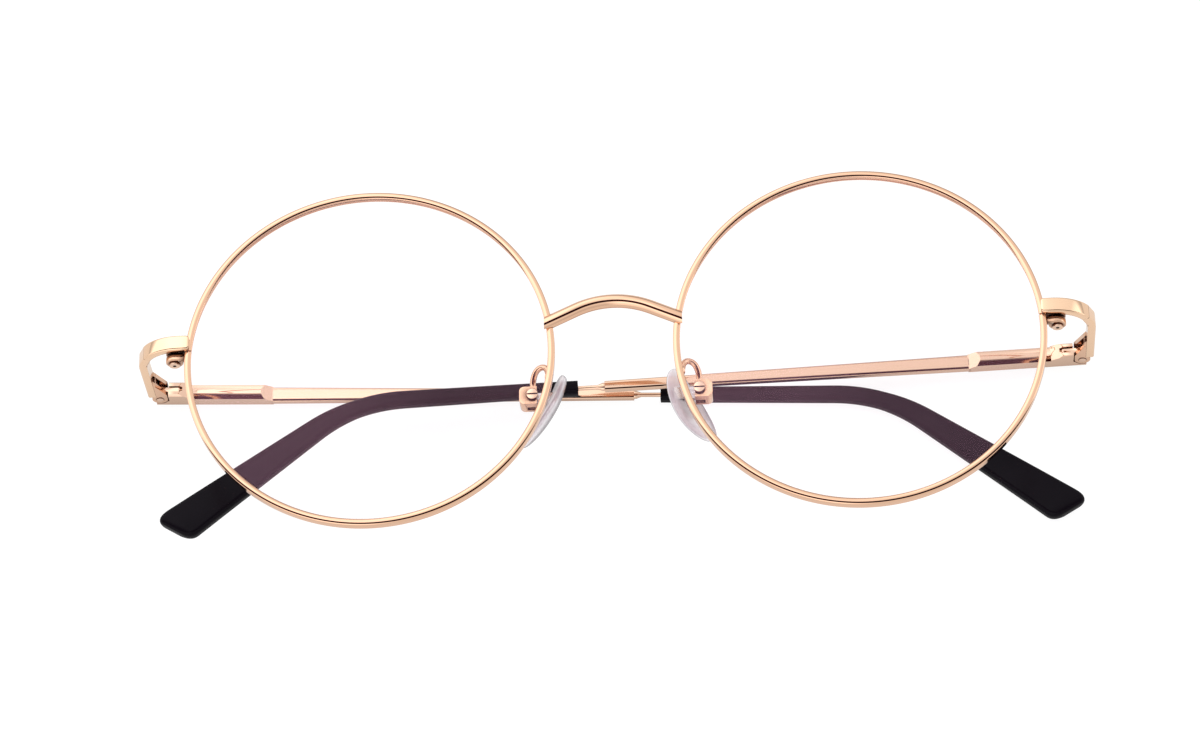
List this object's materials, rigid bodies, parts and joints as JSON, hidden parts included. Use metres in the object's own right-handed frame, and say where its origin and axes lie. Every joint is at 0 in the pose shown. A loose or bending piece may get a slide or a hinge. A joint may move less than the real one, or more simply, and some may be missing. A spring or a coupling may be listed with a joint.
{
  "type": "round metal eyeglasses",
  "caption": "Full-rim round wire eyeglasses with sprung folding temples, ear sleeves and rocking nose pads, folded.",
  "frame": {"origin": "on the surface that the folded eyeglasses lie on, midway between the lens centres", "axes": "+X to the wearer's left, +Y to the brow, +Z the way the lenses face"},
  "size_m": [0.1316, 0.0508, 0.0188],
  "materials": {
    "gold": "polished rose gold plate",
    "temple_gold": "polished rose gold plate",
    "screw": "polished rose gold plate",
    "steel": "drawn",
    "lens": "clear, coated",
    "sleeve": "polished black",
    "pad": "clear soft silicone"
  },
  "bodies": {
    "front": {"rim_left": "gold", "rim_right": "gold", "lens_left": "lens", "lens_right": "lens", "bridge": "gold", "endpiece_left": "gold", "endpiece_right": "gold", "rim_lock_upper_left": "gold", "rim_lock_upper_right": "gold", "rim_lock_lower_left": "gold", "rim_lock_lower_right": "gold", "rim_screw_left": "screw", "rim_screw_right": "screw", "hinge_ears_left": "gold", "hinge_ears_right": "gold", "hinge_screw_left": "screw", "hinge_screw_right": "screw", "pad_arm_left": "gold", "pad_arm_right": "gold", "pad_bracket_left": "gold", "pad_bracket_right": "gold", "pad_screw_left": "screw", "pad_screw_right": "screw"},
    "hinge_left": {"hinge_slider_left": "temple_gold", "spring_stop_left": "steel"},
    "temple_left": {"temple_left": "temple_gold", "spring_housing_left": "temple_gold", "spring_left": "steel", "ear_sleeve_left": "sleeve"},
    "pad_left": {"nose_pad_left": "pad", "pad_insert_left": "steel"},
    "hinge_right": {"hinge_slider_right": "temple_gold", "spring_stop_right": "steel"},
    "temple_right": {"temple_right": "temple_gold", "spring_housing_right": "temple_gold", "spring_right": "steel", "ear_sleeve_right": "sleeve"},
    "pad_right": {"nose_pad_right": "pad", "pad_insert_right": "steel"}
  },
  "joints": [
    {"name": "fold_left", "type": "hinge", "parent": "front", "child": "hinge_left", "pos_m": [0.06425, 0.00297, 0.00205], "axis": [0, -1, 0], "range_deg": [0, 92.5]},
    {"name": "flex_left", "type": "slide", "parent": "hinge_left", "child": "temple_left", "axis": [-0.998, -0.0454, 0.0436], "range_m": [0, 0.0008], "stiffness_N_per_m": 1500, "springref_m": -0.0004, "deforming": ["spring_left"]},
    {"name": "pad_rock_left", "type": "hinge", "parent": "front", "child": "pad_left", "pos_m": [0.0114, -0.0056, 0.01185], "axis": [0, 0, 1], "range_deg": [-8, 8]},
    {"name": "fold_right", "type": "hinge", "parent": "front", "child": "hinge_right", "pos_m": [-0.06425, 0.00297, 0.00205], "axis": [0, 1, 0], "range_deg": [0, 90]},
    {"name": "flex_right", "type": "slide", "parent": "hinge_right", "child": "temple_right", "axis": [0.999, -0.0454, 0], "range_m": [0, 0.0008], "stiffness_N_per_m": 1500, "springref_m": -0.0004, "deforming": ["spring_right"]},
    {"name": "pad_rock_right", "type": "hinge", "parent": "front", "child": "pad_right", "pos_m": [-0.0114, -0.0056, 0.01185], "axis": [0, 0, 1], "range_deg": [-8, 8]}
  ]
}
